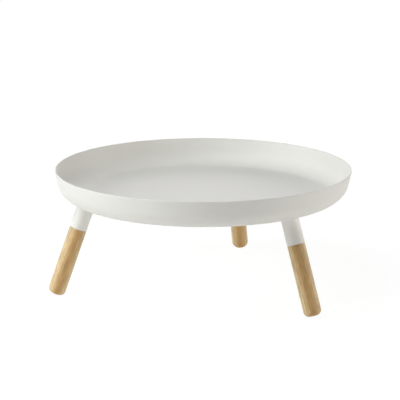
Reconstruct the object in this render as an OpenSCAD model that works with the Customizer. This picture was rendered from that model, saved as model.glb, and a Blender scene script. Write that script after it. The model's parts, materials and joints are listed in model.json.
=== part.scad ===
// Round tray table: a steel pan on three splayed wooden legs.
// Each leg screws by a stud into a threaded plug, inside a tube socket welded under the pan.
// The axis of the pan is Z, the feet stand on Z = 0, and one leg points to +Y, the back.

/* [Tray] */
// Diameter over the rim
tray_d = 300; // [240:1:400]
// Height of the rim above the floor
tray_h = 124; // [110:1:200]
// Depth of the pan, from the rim to the underside
pan_depth = 29; // [26:1:38]
// Thickness of the pan's sheet
sheet_t = 1.6; // [1:0.1:3]
// Lean of the pan's wall outwards from the vertical, in degrees
wall_lean = 11; // [4:1:16]
// Outside radius of the bend between the wall and the floor
bend_r = 19.5; // [10:0.5:22]

/* [Legs] */
// Diameter of the turned wood, and of the socket that it meets
leg_d = 17.5; // [16:0.5:24]
// Splay of the legs from the vertical, in degrees
splay = 20; // [8:0.5:28]
// Radius that rounds the edge of a foot
foot_r = 5.5; // [1:0.5:7]
// Chamfer round the top end of the wood
leg_chamfer = 0.6; // [0.2:0.1:1]

/* [Sockets] */
// Length of a socket on its axis, from the pan's underside to its mouth
socket_l = 29; // [24:1:38]
// Wall of the socket's tube
socket_wall = 1.5; // [1:0.1:2]
// Flat left on the underside between a socket and the start of the bend
socket_inset = 0.1; // [0:0.1:6]

/* [Fastening] */
// Outside diameter of the stud's thread
stud_d = 8; // [6:0.5:8]
// Length of the stud that is driven into the wood
stud_in_wood = 25; // [18:1:30]
// Chamfer at both tips of the stud
stud_chamfer = 1; // [0.4:0.1:1.5]
// How far the stud's tip stands past the plug
stud_past_plug = 1; // [0:0.5:4]
// Length of the threaded plug
plug_l = 12; // [8:1:14]
// Chamfer at the mouth of the plug's thread
plug_chamfer = 0.8; // [0.3:0.1:1.2]
// Thickness of the washer on the stud
washer_t = 1.5; // [0.8:0.1:2]
// Space between the seated washer and the plug
washer_play = 0.5; // [0.2:0.1:1]
// Room for the washer all round, at the tube and at the stud
washer_room = 0.25; // [0.15:0.05:0.5]
// Radial clearance of the stud in the plug and in the wood
thread_gap = 0.06; // [0.03:0.01:0.1]
// Radial clearance of the plug in the tube
plug_gap = 0.05; // [0.02:0.01:0.1]
// Depth of the drilling in the wood past the stud's tip
drill_past = 1.5; // [0.5:0.5:4]

/* [Hidden] */
$fn = 144;

// The legs stand evenly round the pan: their directions, anticlockwise from +X
leg_step = 360 / 3;
rear_angle = 90;
front_left_angle = rear_angle + leg_step;
front_right_angle = front_left_angle + leg_step;

white = "#f1f0ec";
oak = "#d6ab72";
steel = "#b9bcc0";

// Height of the underside, where the sockets are welded
underside_z = tray_h - pan_depth;

// The rim is a full round, on the end of the wall
rim_r = sheet_t / 2;
rim_centre = [tray_d / 2 - rim_r, tray_h - rim_r];

// Radius of the wall at a height, for a face that is inset from the outer one
function wall_r(inset, z) =
  rim_centre.x + (rim_r - inset + (z - rim_centre.y) * sin(wall_lean)) / cos(wall_lean);

// The flat floor ends under the centre of the bend
bend_z = underside_z + bend_r;
flat_r = wall_r(bend_r, bend_z);

// The leg's axis meets the underside at this radius, so the whole socket lands on the flat
leg_base_r = flat_r - leg_d / 2 / cos(splay) - socket_inset;

// Length of the wood that brings the rounded foot down to Z = 0
foot_centre_h = foot_r + (leg_d / 2 - foot_r) * sin(splay);
leg_l = foot_r + (underside_z - foot_centre_h) / cos(splay) - socket_l;

tube_bore_d = leg_d - 2 * socket_wall;

// On a leg's axis, how deep in the socket the plug starts and the stud ends
plug_z = washer_t + washer_play;
stud_out = plug_z + plug_l + stud_past_plug;

// Room that a cutter takes past the face that it cuts
over = 1;

function on_circle(angle, r) = [r * cos(angle), r * sin(angle)];

// What is cut away to round a corner: all that lies outside a circle, between two of its radii
module corner_waste(centre, r, from, to) {
  corner_r = r / cos((to - from) / 2) + over;
  difference() {
    polygon([
      centre,
      centre + on_circle(from, r),
      centre + on_circle((from + to) / 2, corner_r),
      centre + on_circle(to, r)
    ]);
    translate(centre) circle(r);
  }
}

// Half section of all that lies inside one face of the pan, which is inset from its outer face
module pan_side(inset, top_z) {
  z = underside_z + inset;
  difference() {
    polygon([[0, z], [wall_r(inset, z), z], [wall_r(inset, top_z), top_z], [0, top_z]]);
    corner_waste([flat_r, bend_z], bend_r - inset, -90, -wall_lean);
  }
}

// What is cut away from the end of the wall to leave a full round
module rim_waste() {
  reach = rim_r + over;
  translate(rim_centre)
    rotate(-wall_lean)
      difference() {
        translate([-reach, 0]) square([2 * reach, 2 * reach]);
        circle(rim_r);
      }
}

module tray_pan() {
  color(white)
    rotate_extrude()
      difference() {
        pan_side(0, tray_h + over);
        pan_side(sheet_t, tray_h + 2 * over);
        rim_waste();
      }
}

// Puts a leg's parts in place: their axis is local Z, with 0 at the socket's mouth and +Z up to the pan
module on_leg_axis(angle) {
  rotate([0, 0, angle])
    translate([leg_base_r + socket_l * sin(splay), 0, underside_z - socket_l * cos(splay)])
      rotate([0, -splay, 0])
        children();
}

// A length of tube, mitred at the top to sit on the pan's underside
module socket(angle) {
  color(white)
    difference() {
      on_leg_axis(angle)
        difference() {
          cylinder(d = leg_d, h = socket_l + leg_d);
          translate([0, 0, -over]) cylinder(d = tube_bore_d, h = socket_l + leg_d + 2 * over);
        }
      translate([0, 0, underside_z]) cylinder(d = tray_d, h = socket_l + leg_d);
    }
}

// A steel plug welded in the tube, with the thread that takes the stud
module plug(angle) {
  bore_d = stud_d + 2 * thread_gap;
  mouth_d = bore_d + 2 * plug_chamfer;
  color(steel)
    on_leg_axis(angle)
      translate([0, 0, plug_z])
        difference() {
          cylinder(d = tube_bore_d - 2 * plug_gap, h = plug_l);
          translate([0, 0, -over]) cylinder(d = bore_d, h = plug_l + 2 * over);
          cylinder(d1 = mouth_d, d2 = bore_d, h = plug_chamfer);
        }
}

// A flat washer that rides on the stud, against the end of the wood
module washer(angle) {
  color(steel)
    on_leg_axis(angle)
      difference() {
        cylinder(d = tube_bore_d - 2 * washer_room, h = washer_t);
        translate([0, 0, -over]) cylinder(d = stud_d + 2 * washer_room, h = washer_t + 2 * over);
      }
}

// A double-ended stud: the lower length holds in the wood, the upper one screws into the plug
module stud(angle) {
  tip_d = stud_d - 2 * stud_chamfer;
  color(steel)
    on_leg_axis(angle)
      union() {
        translate([0, 0, -stud_in_wood]) cylinder(d1 = tip_d, d2 = stud_d, h = stud_chamfer);
        translate([0, 0, stud_chamfer - stud_in_wood])
          cylinder(d = stud_d, h = stud_in_wood + stud_out - 2 * stud_chamfer);
        translate([0, 0, stud_out - stud_chamfer]) cylinder(d1 = stud_d, d2 = tip_d, h = stud_chamfer);
      }
}

// Half section of a leg, from its axis outwards
module leg_outline() {
  r = leg_d / 2;
  difference() {
    polygon([[0, 0], [r - leg_chamfer, 0], [r, -leg_chamfer], [r, -leg_l], [0, -leg_l]]);
    corner_waste([r - foot_r, foot_r - leg_l], foot_r, -90, 0);
  }
}

// A turned leg, drilled in its end for the stud
module leg(angle) {
  drill_l = stud_in_wood + drill_past;
  color(oak)
    on_leg_axis(angle)
      difference() {
        rotate_extrude() leg_outline();
        translate([0, 0, -drill_l]) cylinder(d = stud_d + 2 * thread_gap, h = drill_l + over);
      }
}

tray_pan();

socket(rear_angle);  // rear_socket
socket(front_left_angle);  // front_left_socket
socket(front_right_angle);  // front_right_socket

plug(rear_angle);  // rear_plug
plug(front_left_angle);  // front_left_plug
plug(front_right_angle);  // front_right_plug

washer(rear_angle);  // rear_washer
washer(front_left_angle);  // front_left_washer
washer(front_right_angle);  // front_right_washer

stud(rear_angle);  // rear_stud
stud(front_left_angle);  // front_left_stud
stud(front_right_angle);  // front_right_stud

leg(rear_angle);  // rear_leg
leg(front_left_angle);  // front_left_leg
leg(front_right_angle);  // front_right_leg
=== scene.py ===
import json
from math import acos, atan2, cos, pi, radians, sin, tan

import bmesh
import bpy
from mathutils import Matrix, Vector

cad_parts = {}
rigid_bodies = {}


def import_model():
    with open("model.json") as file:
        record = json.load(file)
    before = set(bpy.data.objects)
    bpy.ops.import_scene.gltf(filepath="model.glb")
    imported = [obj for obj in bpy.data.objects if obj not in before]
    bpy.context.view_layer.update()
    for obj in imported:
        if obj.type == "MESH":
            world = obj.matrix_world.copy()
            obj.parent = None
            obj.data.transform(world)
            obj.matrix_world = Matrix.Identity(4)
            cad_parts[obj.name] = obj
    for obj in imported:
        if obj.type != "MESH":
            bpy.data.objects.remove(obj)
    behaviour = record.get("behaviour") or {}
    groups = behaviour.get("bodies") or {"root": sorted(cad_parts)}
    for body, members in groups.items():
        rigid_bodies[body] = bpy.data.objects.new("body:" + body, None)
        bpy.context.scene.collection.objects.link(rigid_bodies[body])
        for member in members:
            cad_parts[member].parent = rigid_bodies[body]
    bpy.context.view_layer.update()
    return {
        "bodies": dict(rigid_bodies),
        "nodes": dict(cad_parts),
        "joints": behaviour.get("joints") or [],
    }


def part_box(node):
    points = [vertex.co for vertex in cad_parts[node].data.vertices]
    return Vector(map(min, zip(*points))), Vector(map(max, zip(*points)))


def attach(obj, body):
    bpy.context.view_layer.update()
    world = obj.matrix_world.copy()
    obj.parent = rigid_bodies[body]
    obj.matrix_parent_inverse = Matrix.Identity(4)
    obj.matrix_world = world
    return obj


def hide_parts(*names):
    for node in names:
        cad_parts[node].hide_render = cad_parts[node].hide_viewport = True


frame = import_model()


# The camera
# A long lens about a metre and a half away, 16 degrees round to the right of the front, looks
# down 14 degrees on the tray.
camera_at = Vector((0.4187, -1.4638, 0.4589))
camera_heading = radians(16.08)
camera_pitch = radians(-13.64)
camera_roll = radians(0.02)

lens = bpy.data.cameras.new("long_lens")
lens.sensor_width = 36
lens.lens = 138.4
camera = bpy.data.objects.new("camera", lens)
camera.matrix_world = (
    Matrix.Translation(camera_at)
    @ Matrix.Rotation(camera_heading, 4, "Z")
    @ Matrix.Rotation(pi / 2 + camera_pitch, 4, "X")
    @ Matrix.Rotation(camera_roll, 4, "Z")
)
bpy.context.scene.collection.objects.link(camera)
bpy.context.scene.camera = camera
bpy.context.scene.view_settings.view_transform = "Standard"


# The studio
# Large soft lamps round the table, in a white room. The strongest stands at the picture's left, so
# that side of the pan is nearly white and its front falls off to a warm grey.
def linear(hex_colour):
    """A colour written as sRGB hex, as the linear red, green, blue and alpha for a socket."""
    shares = [int(hex_colour[i:i + 2], 16) / 255 for i in (1, 3, 5)]
    return *(s / 12.92 if s <= 0.04045 else ((s + 0.055) / 1.055) ** 2.4 for s in shares), 1


def add(tree, kind, inputs=None, **settings):
    """Adds a node. An input is a value, or another node's output that is linked to it."""
    node = tree.nodes.new(kind)
    for name, value in settings.items():
        setattr(node, name, value)
    for name, value in (inputs or {}).items():
        if isinstance(value, bpy.types.NodeSocket):
            tree.links.new(value, node.inputs[name])
        else:
            node.inputs[name].default_value = value
    return node


def seen_directly(tree):
    """1 where the camera sees a surface itself, in a gloss or through glass, 0 in soft light."""
    ray = add(tree, "ShaderNodeLightPath").outputs
    direct = add(tree, "ShaderNodeMath", {0: ray["Is Camera Ray"], 1: ray["Is Glossy Ray"]},
                 operation="MAXIMUM")
    seen = add(tree, "ShaderNodeMath", {0: direct.outputs[0], 1: ray["Is Transmission Ray"]},
               operation="MAXIMUM")
    return seen.outputs[0]


def empty_material(name):
    """A new material that has no nodes yet."""
    material = bpy.data.materials.new(name)
    material.use_nodes = True
    material.node_tree.nodes.clear()
    return material


# Each lamp: bearing from the camera's side, positive to the right, height and distance in metres,
# width in metres, power in watts and colour
lamps = {
    "left_high": (-60, 1.5, 0.8, 1.0, 13.0, "#fcfeff"),
    "left_side": (-70, 0.6, 1.6, 0.5, 6.8, "#fcfeff"),
    "left_low": (-80, 0.35, 1.6, 1.0, 5.8, "#fcfeff"),
    "right_low": (90, 0.35, 1.6, 1.0, 12.5, "#fffcf8"),
    "front_low": (0, 0.25, 1.9, 0.8, 5.2, "#fffcf8"),
    "rear_low": (180, 0.4, 1.6, 1.2, 8.0, "#fffcf8"),
}
aim = Vector((0, 0, 0.1))

for name, (bearing, height, distance, width, power, tint) in lamps.items():
    lamp = bpy.data.lights.new(name, "AREA")
    lamp.size = width
    lamp.energy = power
    lamp.color = linear(tint)[:3]
    stand = bpy.data.objects.new(name, lamp)
    turned = camera_heading + radians(bearing)
    stand.location = (distance * sin(turned), -distance * cos(turned), height)
    stand.rotation_euler = (aim - stand.location).to_track_quat("-Z", "Y").to_euler()
    bpy.context.scene.collection.objects.link(stand)

room = bpy.data.worlds.new("white_room")
room.use_nodes = True
bpy.context.scene.world = room
tree = room.node_tree
tree.nodes.clear()
white = add(tree, "ShaderNodeBackground", {
    "Color": linear("#ffffff"), "Strength": seen_directly(tree),
})
add(tree, "ShaderNodeOutputWorld", {"Surface": white.outputs[0]})

# The floor is a sheet of white paper. It sends a little light of its own up to the table. Seen
# directly, most of its white is its own, and near the table a share is left to the lamps, which
# takes the faint shadow. Sizes are in metres, and a glow of 1 is white.
floor_width = 12.0
floor_light = 0.05
near_glow = 0.92
far_glow = 1.0
near_reach = 0.3
far_reach = 0.9

bm = bmesh.new()
bmesh.ops.create_grid(bm, x_segments=8, y_segments=8, size=floor_width / 2)
mesh = bpy.data.meshes.new("floor")
bm.to_mesh(mesh)
bm.free()
floor = bpy.data.objects.new("floor", mesh)
bpy.context.scene.collection.objects.link(floor)

# Legs that are unscrewed reach lower, and the floor stays under them
for body in ("rear_washer", "front_left_washer", "front_right_washer"):
    under = floor.constraints.new("FLOOR")
    under.target = frame["bodies"][body]
    under.floor_location = "FLOOR_NEGATIVE_Z"

paper = empty_material("white_paper_floor")
tree = paper.node_tree
plain = add(tree, "ShaderNodeBsdfDiffuse", {"Color": linear("#f4f4f2")})
extra = add(tree, "ShaderNodeEmission", {"Color": linear("#ffffff"), "Strength": floor_light})
bounced = add(tree, "ShaderNodeAddShader", {0: plain.outputs[0], 1: extra.outputs[0]})
shaded = add(tree, "ShaderNodeBsdfDiffuse", {"Color": linear("#6e6e6e")})
place = add(tree, "ShaderNodeTexCoord").outputs["Object"]
away = add(tree, "ShaderNodeVectorMath", {0: place}, operation="LENGTH")
own = add(tree, "ShaderNodeMapRange", {
    "Value": away.outputs["Value"], "From Min": near_reach, "From Max": far_reach,
    "To Min": near_glow, "To Max": far_glow,
})
glow = add(tree, "ShaderNodeEmission", {"Color": linear("#ffffff"), "Strength": own.outputs[0]})
shown = add(tree, "ShaderNodeAddShader", {0: shaded.outputs[0], 1: glow.outputs[0]})
mixed = add(tree, "ShaderNodeMixShader", {
    0: seen_directly(tree), 1: bounced.outputs[0], 2: shown.outputs[0],
})
add(tree, "ShaderNodeOutputMaterial", {"Surface": mixed.outputs[0]})
mesh.materials.append(paper)


# The pan
# One deep round tray, pressed from steel sheet and sprayed with a matt white powder that is baked
# on. Its floor is flat, a wide bend runs up to the leaning wall, and the rim is a full round.
mm = 0.001
powder_grain = 0.45 * mm
powder_relief = 0.02 * mm
powder_drift = 60 * mm


def powder_coat():
    """Baked polyester powder: dull, with a fine skin like orange peel that only shows up close."""
    material = empty_material("matt_white_powder_coat")
    tree = material.node_tree
    place = add(tree, "ShaderNodeTexCoord").outputs["Object"]
    peel = add(tree, "ShaderNodeTexNoise", {
        "Vector": place, "Scale": 1 / powder_grain, "Detail": 2.0,
    })
    drift = add(tree, "ShaderNodeTexNoise", {
        "Vector": place, "Scale": 1 / powder_drift, "Detail": 2.0,
    })
    tone = add(tree, "ShaderNodeMix", {
        0: drift.outputs[0], 6: linear("#efeee9"), 7: linear("#f2f1ec"),
    }, data_type="RGBA")
    rough = add(tree, "ShaderNodeMapRange", {
        "Value": drift.outputs[0], "To Min": 0.5, "To Max": 0.62,
    })
    bump = add(tree, "ShaderNodeBump", {
        "Height": peel.outputs[0], "Strength": 0.12, "Distance": powder_relief,
    })
    coat = add(tree, "ShaderNodeBsdfPrincipled", {
        "Base Color": tone.outputs[2], "Roughness": rough.outputs[0], "IOR": 1.5,
        "Normal": bump.outputs[0],
    })
    add(tree, "ShaderNodeOutputMaterial", {"Surface": coat.outputs[0]})
    return material


white_coat = powder_coat()
pan = frame["nodes"]["tray_pan"]
pan.data.materials.clear()
pan.data.materials.append(white_coat)


# The sockets
# Three lengths of steel tube, mitred and welded under the pan, then sprayed white with it. The
# sawn mouth of each is rubbed round, and the weld is dressed to a small fillet.
legs = ("rear", "front_left", "front_right")
# All three splay alike from the vertical, as the axes of their joints do
splay = acos(-frame["joints"][0]["axis"][2])
tube_r = 8.75 * mm
tube_bore_r = 7.25 * mm
mouth_round = 0.35 * mm
weld_leg = 1.3 * mm
weld_sink = 0.1 * mm
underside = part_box("tray_pan")[0].z
tube_steps = 96
crisp_angle = radians(32)
same_point = 0.001 * mm


def leg_place(name):
    """Where a leg's parts go: Z runs up the leg's axis, from 0 at the socket's mouth."""
    mouth = Vector(next(j["pos_m"] for j in frame["joints"] if j["name"] == f"{name}_leg_turn"))
    bearing = atan2(mouth.y, mouth.x)
    return (
        Matrix.Translation(mouth)
        @ Matrix.Rotation(bearing, 4, "Z")
        @ Matrix.Rotation(-splay, 4, "Y")
    )


def line_to(bm, tip, *points):
    """Draws a half section on from a vertex, through points given as radius and height."""
    for x, z in points:
        new = bm.verts.new((x, 0, z))
        bm.edges.new((tip, new))
        tip = new
    return tip


def arc_to(bm, tip, centre, turn, steps=6):
    """Draws a half section on from a vertex, round a centre. A positive turn goes clockwise."""
    x, z = centre
    made = bmesh.ops.spin(bm, geom=[tip], cent=(x, 0, z), axis=(0, 1, 0), angle=radians(turn),
                          steps=steps)
    return next(v for v in made["geom_last"] if isinstance(v, bmesh.types.BMVert))


def turn_round(bm, steps):
    """Spins the half section round its axis, and closes it where it meets the axis."""
    bmesh.ops.spin(bm, geom=bm.verts[:] + bm.edges[:], cent=(0, 0, 0), axis=(0, 0, 1),
                   angle=2 * pi, steps=steps, use_merge=True)
    bmesh.ops.remove_doubles(bm, verts=bm.verts, dist=same_point)
    bmesh.ops.recalc_face_normals(bm, faces=bm.faces)


def make_piece(name, bm, material, body, replaced=None):
    """Turns a finished mesh into a piece that rides on a body, with its edges kept crisp."""
    mesh = bpy.data.meshes.new(name)
    bm.to_mesh(mesh)
    bm.free()
    mesh.shade_smooth()
    mesh.set_sharp_from_angle(angle=crisp_angle)
    mesh.materials.append(material)
    piece = bpy.data.objects.new(name, mesh)
    bpy.context.scene.collection.objects.link(piece)
    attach(piece, body)
    if replaced:
        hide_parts(replaced)


def cut_off(bm, height, keep_above):
    """Cuts a mesh level at a height, and returns the edges of the cut."""
    cut = bmesh.ops.bisect_plane(bm, geom=bm.verts[:] + bm.edges[:] + bm.faces[:], dist=same_point,
                                 plane_co=(0, 0, height), plane_no=(0, 0, 1),
                                 clear_inner=keep_above, clear_outer=not keep_above)
    return [e for e in cut["geom_cut"] if isinstance(e, bmesh.types.BMEdge)]


def socket_tube(place):
    """The tube, cut off at the pan's underside."""
    bm = bmesh.new()
    past_pan = (underside - place.translation.z) / cos(splay) + tube_r
    tip = bm.verts.new((tube_bore_r, 0, past_pan))
    tip = line_to(bm, tip, (tube_bore_r, 2 * mouth_round), (tube_bore_r, mouth_round))
    tip = arc_to(bm, tip, (tube_bore_r + mouth_round, mouth_round), -90)
    tip = line_to(bm, tip, (tube_r - mouth_round, 0))
    tip = arc_to(bm, tip, (tube_r - mouth_round, mouth_round), -90)
    line_to(bm, tip, (tube_r, 2 * mouth_round), (tube_r, past_pan))
    turn_round(bm, tube_steps)
    bmesh.ops.transform(bm, matrix=place, verts=bm.verts)
    bmesh.ops.bridge_loops(bm, edges=cut_off(bm, underside, keep_above=False))
    bmesh.ops.recalc_face_normals(bm, faces=bm.faces)
    return bm


def weld_fillet(place):
    """The dressed weld: a hollow fillet round the tube, sheared to lie on the pan's underside."""
    bm = bmesh.new()
    top = (underside - place.translation.z) / cos(splay)
    first = bm.verts.new((tube_r, 0, top - weld_leg))
    tip = arc_to(bm, first, (tube_r + weld_leg, top - weld_leg), 90, steps=8)
    tip = line_to(bm, tip, (tube_r + weld_leg, top + weld_sink),
                  (tube_r - weld_sink, top + weld_sink), (tube_r - weld_sink, top - weld_leg))
    bm.edges.new((tip, first))
    turn_round(bm, tube_steps)
    lean = Matrix.Shear("XY", 4, (0, 0))
    lean[2][0] = -tan(splay)
    bmesh.ops.transform(bm, matrix=place @ lean, verts=bm.verts)
    return bm


for leg in legs:
    place = leg_place(leg)
    make_piece(f"{leg}_socket_tube", socket_tube(place), white_coat, "tray",
               f"{leg}_socket")
    make_piece(f"{leg}_socket_weld", weld_fillet(place), white_coat, "tray")


# The plugs
# A turned steel plug is welded in each tube, 2 mm up from its mouth, with the thread that takes
# the leg's stud. It is left bare.
thread_pitch = 1.25 * mm
thread_crest_r = 3.98 * mm
thread_root_r = 3.31 * mm
thread_gap = 0.06 * mm
plug_r = 7.2 * mm
plug_low = 2 * mm
plug_high = 14 * mm
plug_edge = 0.3 * mm
plug_face_r = 5.9 * mm
plug_mouth_r = 4.86 * mm
thread_steps = 48
thread_seam = 0.005 * mm
level_within = 0.01 * mm
bloom_size = 4 * mm


def bare_metal(name, low_hex, high_hex, dull, mark_size, mark_depth):
    """Bare or plated steel: mirror-like at heart, dulled by fine marks of its making."""
    material = empty_material(name)
    tree = material.node_tree
    place = add(tree, "ShaderNodeTexCoord").outputs["Object"]
    marks = add(tree, "ShaderNodeTexNoise", {
        "Vector": place, "Scale": 1 / mark_size, "Detail": 3.0,
    })
    bloom = add(tree, "ShaderNodeTexNoise", {
        "Vector": place, "Scale": 1 / bloom_size, "Detail": 3.0,
    })
    tone = add(tree, "ShaderNodeMix", {
        0: bloom.outputs[0], 6: linear(low_hex), 7: linear(high_hex),
    }, data_type="RGBA")
    rough = add(tree, "ShaderNodeMapRange", {
        "Value": bloom.outputs[0], "To Min": dull - 0.06, "To Max": dull + 0.1,
    })
    bump = add(tree, "ShaderNodeBump", {
        "Height": marks.outputs[0], "Strength": 0.3, "Distance": mark_depth,
    })
    metal = add(tree, "ShaderNodeBsdfPrincipled", {
        "Base Color": tone.outputs[2], "Metallic": 1.0, "Roughness": rough.outputs[0],
        "Normal": bump.outputs[0],
    })
    add(tree, "ShaderNodeOutputMaterial", {"Surface": metal.outputs[0]})
    return material


def thread(bm, pitch, root_r, crest_r, low, high, root_share=1 / 4, crest_share=1 / 8):
    """A screw thread: a zigzag section is spun one turn as it climbs one pitch, and cut to length.
    The shares are the parts of a pitch that are flat, at the root and at the crest."""
    flank = (1 - root_share - crest_share) / 2
    bottom = (low // pitch - 2) * pitch
    tip = bm.verts.new((root_r, 0, bottom))
    for turn in range(round((high - bottom) / pitch) + 2):
        z = bottom + turn * pitch
        tip = line_to(bm, tip, (root_r, z + root_share * pitch),
                      (crest_r, z + (root_share + flank) * pitch),
                      (crest_r, z + (1 - flank) * pitch), (root_r, z + pitch))
    bmesh.ops.spin(bm, geom=bm.verts[:] + bm.edges[:], cent=(0, 0, 0), axis=(0, 0, 1),
                   angle=2 * pi, dvec=(0, 0, pitch / thread_steps), steps=thread_steps)
    bmesh.ops.remove_doubles(bm, verts=bm.verts, dist=thread_seam)
    return cut_off(bm, low, keep_above=True), cut_off(bm, high, keep_above=False)


def threaded_plug(place):
    """The plug: a tapped bore with a chamfer at its mouth, joined to a plain outside."""
    bm = bmesh.new()
    thread(bm, thread_pitch, thread_root_r + thread_gap, thread_crest_r + thread_gap, plug_low,
           plug_high)
    # The chamfer widens the thread to a cone of 45 degrees at the mouth
    for v in bm.verts:
        r = v.co.xy.length
        v.co.xy *= max(1, (plug_mouth_r - (v.co.z - plug_low)) / r)
    bore = set(bm.verts)
    tip = bm.verts.new((plug_face_r, 0, plug_low))
    line_to(bm, tip, (plug_r - plug_edge, plug_low), (plug_r, plug_low + plug_edge),
            (plug_r, plug_high - plug_edge), (plug_r - plug_edge, plug_high),
            (plug_face_r, plug_high))
    outside = [v for v in bm.verts if v not in bore]
    drawn = [e for e in bm.edges if e.verts[0] not in bore]
    bmesh.ops.spin(bm, geom=outside + drawn, cent=(0, 0, 0), axis=(0, 0, 1), angle=2 * pi,
                   steps=thread_steps, use_merge=True)
    for height in (plug_low, plug_high):
        ends = [e for e in bm.edges
                if e.is_boundary and all(abs(v.co.z - height) < level_within for v in e.verts)]
        bmesh.ops.bridge_loops(bm, edges=ends)
    bmesh.ops.recalc_face_normals(bm, faces=bm.faces)
    bmesh.ops.transform(bm, matrix=place, verts=bm.verts)
    return bm


# Lathe marks are 0.1 mm apart
turned_steel = bare_metal("turned_bare_steel", "#a3a3a1", "#b4b4b1", dull=0.34, mark_size=0.1 * mm,
                          mark_depth=0.01 * mm)
for leg in legs:
    make_piece(f"{leg}_threaded_plug", threaded_plug(leg_place(leg)), turned_steel, "tray",
               f"{leg}_plug")


# The washers
# A flat washer rides on each stud and lies on the end of the wood. It is stamped from strip, which
# leaves its edges a little round, and zinc plated.
washer_r = 7 * mm
washer_bore_r = 4.25 * mm
washer_thick = 1.5 * mm
washer_edge = 0.2 * mm
washer_steps = 72


def washer(place):
    """A ring of square section, with its four edges rounded."""
    bm = bmesh.new()
    first = bm.verts.new((washer_bore_r, 0, 0))
    tip = line_to(bm, first, (washer_r, 0), (washer_r, washer_thick),
                  (washer_bore_r, washer_thick))
    bm.edges.new((tip, first))
    turn_round(bm, washer_steps)
    corners = [e for e in bm.edges if e.calc_face_angle(0) > crisp_angle]
    bmesh.ops.bevel(bm, geom=corners, offset=washer_edge, segments=3, profile=0.5, affect="EDGES",
                    material=-1)
    bmesh.ops.transform(bm, matrix=place, verts=bm.verts)
    return bm


# Zinc plate has a grain of crystals about 0.15 mm across
bright_zinc = bare_metal("bright_zinc_plate", "#b7bbc2", "#cbced3", dull=0.26, mark_size=0.15 * mm,
                         mark_depth=0.004 * mm)
for leg in legs:
    make_piece(f"{leg}_zinc_washer", washer(leg_place(leg)), bright_zinc, f"{leg}_washer",
               f"{leg}_washer")


# The studs
# Each leg has a double-ended stud: a coarse wood thread is driven into it, a plain shank follows,
# and a machine thread stands out of its end.
stud_tip = 15 * mm
stud_foot = -25 * mm
stud_shank_r = 3.6 * mm
shank_low = -3 * mm
shank_high = 0.6 * mm
shank_edge = 0.3 * mm
shank_overlap = 0.2 * mm
tip_chamfer = 1 * mm
wood_pitch = 2.5 * mm
wood_crest_r = 4 * mm
wood_root_r = 2.9 * mm


def capped(bm, ends):
    """Closes a thread's cut ends."""
    for edges in ends:
        bmesh.ops.holes_fill(bm, edges=[e for e in edges if e.is_valid], sides=0)


def stud(place):
    """Both threads and the shank, with a chamfer at each tip."""
    bm = bmesh.new()
    capped(bm, thread(bm, thread_pitch, thread_root_r, thread_crest_r, shank_high - shank_overlap,
                      stud_tip))
    wood = bmesh.new()
    capped(wood, thread(wood, wood_pitch, wood_root_r, wood_crest_r, stud_foot,
                        shank_low + shank_overlap, root_share=1 / 2, crest_share=1 / 10))
    # Each chamfer narrows its thread to a cone of 45 degrees at the tip
    for part, end, inward in ((bm, stud_tip, -1), (wood, stud_foot, 1)):
        for v in part.verts:
            depth = (v.co.z - end) * inward
            r = v.co.xy.length
            if r > 0:
                v.co.xy *= min(1, (thread_crest_r - tip_chamfer + depth) / r)
    shank = bmesh.new()
    tip = shank.verts.new((0, 0, shank_low))
    line_to(shank, tip, (stud_shank_r - shank_edge, shank_low),
            (stud_shank_r, shank_low + shank_edge), (stud_shank_r, shank_high - shank_edge),
            (stud_shank_r - shank_edge, shank_high), (0, shank_high))
    turn_round(shank, thread_steps)
    for part in (wood, shank):
        held = bpy.data.meshes.new("part")
        part.to_mesh(held)
        part.free()
        bm.from_mesh(held)
        bpy.data.meshes.remove(held)
    bmesh.ops.recalc_face_normals(bm, faces=bm.faces)
    bmesh.ops.transform(bm, matrix=place, verts=bm.verts)
    return bm


for leg in legs:
    make_piece(f"{leg}_threaded_stud", stud(leg_place(leg)), bright_zinc, f"{leg}_leg",
               f"{leg}_stud")


# The legs
# Three dowels of pale oak, turned to the width of their sockets, drilled in the top end for the
# stud and rounded over at the foot. The grain runs along them, and they are oiled.
dowel_r = 8.75 * mm
dowel_chamfer = 0.6 * mm
foot_round = 5.5 * mm
drill_r = 4.06 * mm
drill_depth = 26.5 * mm
dowel_steps = 120

# Oak is straw-coloured, with broad bands of honey brown. One such band lies in each dowel, and its
# middle is at this share of the way across.
straw = "#ecd6a8"
honey_brown = "#cda469"
brown_at = 0.55
# Sizes in the wood, in millimetres. The tree's heart lies well outside the dowel and leans a
# little from its axis. The bands of colour start and end at these depths from the axis, the first
# of them towards the heart, and waver by up to the drift.
heart_offset = 44
heart_lean = radians(0.6)
band_start = -7.2
band_end = 9.8
band_drift = 2.6
ring_width = 2.1
# The marks are drawn out along the grain by one ratio. The pores and the bundles of fibre are
# about twice as wide as real ones, or none would show.
drift_size = 9
fibre_size = 0.8
pore_size = 0.4
pore_depth = 0.03
grain_draw = 24
# The clouding is shorter along the grain
cloud_depth = 0.2
cloud_size = 4
cloud_draw = 4


def dowel_length():
    """Length of the wood, down to where its rounded foot meets the floor."""
    mouth = leg_place("rear").translation.z
    foot_centre = foot_round + (dowel_r - foot_round) * sin(splay)
    return foot_round + (mouth - foot_centre) / cos(splay)


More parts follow.
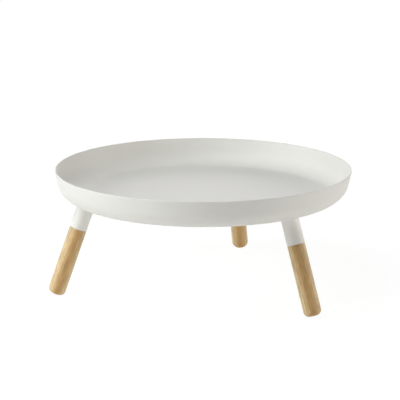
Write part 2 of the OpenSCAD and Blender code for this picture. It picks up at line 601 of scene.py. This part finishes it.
def dowel(place):
    """The turned dowel, with its drilled hole."""
    bm = bmesh.new()
    foot = -dowel_length()
    tip = bm.verts.new((0, 0, -drill_depth))
    tip = line_to(bm, tip, (drill_r, -drill_depth), (drill_r, 0), (dowel_r - dowel_chamfer, 0),
                  (dowel_r, -dowel_chamfer), (dowel_r, -2 * dowel_chamfer), (dowel_r, foot / 2),
                  (dowel_r, foot + foot_round + dowel_chamfer), (dowel_r, foot + foot_round))
    tip = arc_to(bm, tip, (dowel_r - foot_round, foot + foot_round), 90, steps=12)
    line_to(bm, tip, (dowel_r - foot_round - dowel_chamfer, foot), (0, foot))
    turn_round(bm, dowel_steps)
    bmesh.ops.transform(bm, matrix=place, verts=bm.verts)
    return bm


def oiled_oak(name, place, turn, along, clouding, paleness_and_painted_light):
    """Oak: bands of pale and brown wood that follow its rings, with fine pores in each ring."""
    material = empty_material(name)
    tree = material.node_tree
    # Marks are laid out on the leg's own axes, in millimetres
    own = add(tree, "ShaderNodeMapping", {
        "Vector": add(tree, "ShaderNodeTexCoord").outputs["Object"], "Location": place.translation,
        "Rotation": place.to_euler(), "Scale": (mm, mm, mm),
    }, vector_type="TEXTURE")
    # The tree's heart lies outside the dowel and almost along it
    log = add(tree, "ShaderNodeMapping", {
        "Vector": own.outputs[0], "Location": (heart_offset, 0, along),
        "Rotation": (0, heart_lean, radians(turn)),
    })
    drawn = add(tree, "ShaderNodeMapping", {
        "Vector": log.outputs[0], "Scale": (1, 1, 1 / grain_draw),
    })
    drift, fibre, vessel = (
        add(tree, "ShaderNodeTexNoise", {
            "Vector": drawn.outputs[0], "Scale": 1 / size, "Detail": 1.0,
        }).outputs[0]
        for size in (drift_size, fibre_size, pore_size)
    )
    # How far a point lies from the heart, in millimetres, and its broad band of colour
    across = add(tree, "ShaderNodeVectorMath", {0: log.outputs[0], 1: (1, 1, 0)},
                 operation="MULTIPLY")
    radius = add(tree, "ShaderNodeVectorMath", {0: across.outputs[0]}, operation="LENGTH")
    growth = add(tree, "ShaderNodeMath", {0: drift, 1: band_drift, 2: radius.outputs["Value"]},
                 operation="MULTIPLY_ADD")
    depth = add(tree, "ShaderNodeMapRange", {
        "Value": growth.outputs[0], "From Min": heart_offset + band_start,
        "From Max": heart_offset + band_end,
    })
    band = add(tree, "ShaderNodeValToRGB", {"Fac": depth.outputs[0]})
    band.color_ramp.interpolation = "EASE"
    for end in band.color_ramp.elements:
        end.color = linear(straw)
    band.color_ramp.elements.new(brown_at).color = linear(honey_brown)
    # In a year's ring, an open row of pores comes first and the denser, browner wood last
    years = add(tree, "ShaderNodeMath", {0: growth.outputs[0], 1: ring_width}, operation="DIVIDE")
    season = add(tree, "ShaderNodeMath", {0: years.outputs[0]}, operation="FRACT")
    late = add(tree, "ShaderNodeMapRange", {
        "Value": season.outputs[0], "From Min": 0.3, "From Max": 0.95, "To Max": 0.3,
    })
    ringed = add(tree, "ShaderNodeMix", {
        0: late.outputs[0], 6: band.outputs[0], 7: linear("#a87c48"),
    }, data_type="RGBA")
    # Bundles of fibre make darker streaks
    bundle = add(tree, "ShaderNodeMapRange", {
        "Value": fibre, "From Min": 0.38, "From Max": 0.66, "To Max": 0.42,
    })
    streaked = add(tree, "ShaderNodeMix", {
        0: bundle.outputs[0], 6: ringed.outputs[2], 7: linear("#b48f5c"),
    }, data_type="RGBA")
    # Pores are many in the early wood of a ring and few in the rest
    early = add(tree, "ShaderNodeMapRange", {
        "Value": season.outputs[0], "From Min": 0.22, "From Max": 0.4,
        "To Min": 1.0, "To Max": 0.15,
    })
    pore = add(tree, "ShaderNodeMapRange", {
        "Value": vessel, "From Min": 0.55, "From Max": 0.68, "To Max": early.outputs[0],
    })
    half = add(tree, "ShaderNodeMath", {0: pore.outputs[0], 1: 0.5}, operation="MULTIPLY")
    pored = add(tree, "ShaderNodeMix", {
        0: half.outputs[0], 6: streaked.outputs[2], 7: linear("#86623a"),
    }, data_type="RGBA")
    # Oil soaks in unevenly, so the wood is clouded a little lighter and darker
    soft = add(tree, "ShaderNodeMapping", {
        "Vector": log.outputs[0], "Scale": (1, 1, 1 / cloud_draw),
    })
    cloud = add(tree, "ShaderNodeTexNoise", {
        "Vector": soft.outputs[0], "W": clouding, "Scale": 1 / cloud_size, "Detail": 4.0,
        "Roughness": 0.75,
    }, noise_dimensions="4D")
    # The whole leg is scaled by its paleness, which is partly the wood's own tone and partly
    # painted light: the shaded rear leg is made paler
    shade = add(tree, "ShaderNodeMapRange", {
        "Value": cloud.outputs[0], "From Min": 0.3, "From Max": 0.7,
        "To Min": paleness_and_painted_light - cloud_depth, "To Max": paleness_and_painted_light + cloud_depth,
    })
    clouded = add(tree, "ShaderNodeMix", {
        0: 1.0, 6: pored.outputs[2], 7: shade.outputs[0],
    }, data_type="RGBA", blend_type="MULTIPLY", clamp_result=True)
    bump = add(tree, "ShaderNodeBump", {
        "Height": pore.outputs[0], "Strength": 0.3, "Distance": pore_depth * mm,
    }, invert=True)
    rough = add(tree, "ShaderNodeMapRange", {"Value": fibre, "To Min": 0.45, "To Max": 0.62})
    wood = add(tree, "ShaderNodeBsdfPrincipled", {
        "Base Color": clouded.outputs[2], "Roughness": rough.outputs[0], "IOR": 1.45,
        "Normal": bump.outputs[0],
    })
    add(tree, "ShaderNodeOutputMaterial", {"Surface": wood.outputs[0]})
    return material


# Each dowel's grain: its turn about the axis in degrees, the place along the log that it was cut
# from, the seed of its clouding, and how pale its wood is. The paleness is partly the wood's own
# tone and partly painted light: the rear leg, in shade under the pan, is made paler to make up for
# it.
grain = {
    "rear": (-106, 40, 7, 1.1),
    "front_left": (6, 0, 8, 1.03),
    "front_right": (-46, 300, 7, 0.95),
}
for leg in legs:
    place = leg_place(leg)
    oak = oiled_oak(f"oiled_oak_{leg}", place, *grain[leg])
    make_piece(f"{leg}_oak_dowel", dowel(place), oak, f"{leg}_leg", f"{leg}_leg")
